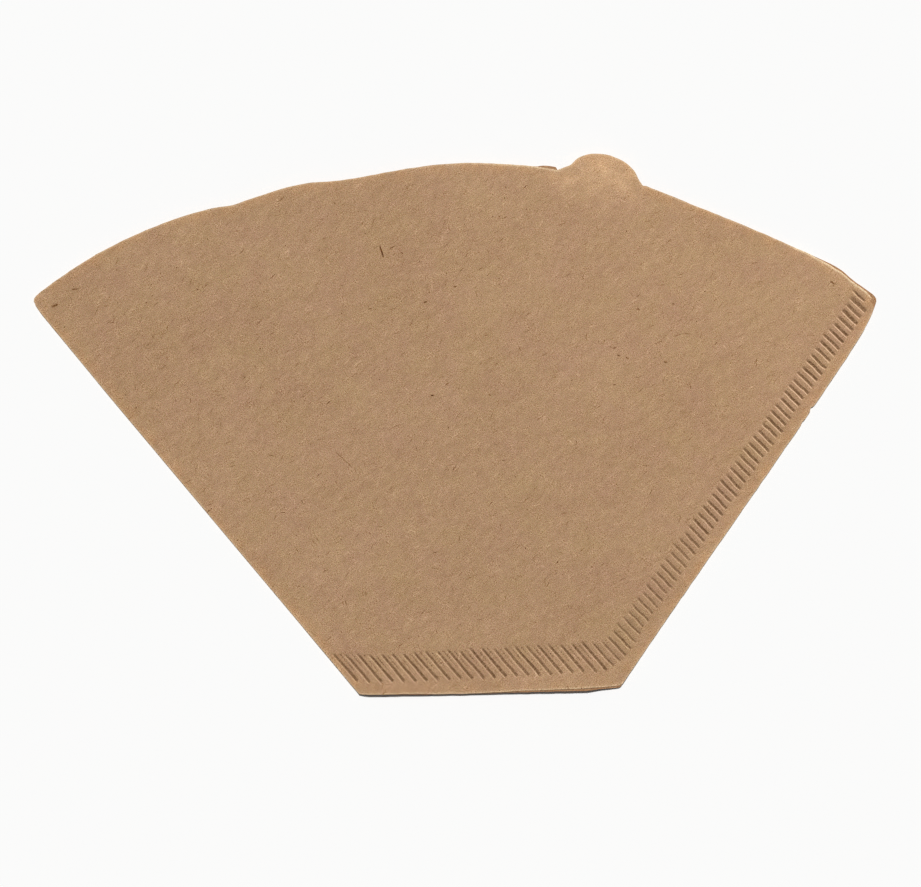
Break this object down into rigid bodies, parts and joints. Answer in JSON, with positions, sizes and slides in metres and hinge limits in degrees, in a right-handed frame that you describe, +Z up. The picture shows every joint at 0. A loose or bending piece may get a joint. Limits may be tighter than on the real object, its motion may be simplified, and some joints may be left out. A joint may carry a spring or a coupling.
{
  "type": "paper coffee filter",
  "caption": "Flat-folded wedge coffee filter of brown kraft paper, with a thumb tab at the mouth and crimped seams along the bottom and one side.",
  "frame": {"origin": "on the surface that the filter lies on, under the middle of its bounding box", "axes": "+X along the bottom seam's edge, from the fold to the side seam; +Y from the bottom seam to the mouth; +Z up, out of the front ply that has the thumb tab"},
  "size_m": [0.1662, 0.1054, 0.002],
  "materials": {
    "kraft_paper": "unbleached brown filter paper, matt, with fine fibres and flecks"
  },
  "bodies": {
    "root": {"paper_filter": "kraft_paper"}
  },
  "joints": []
}
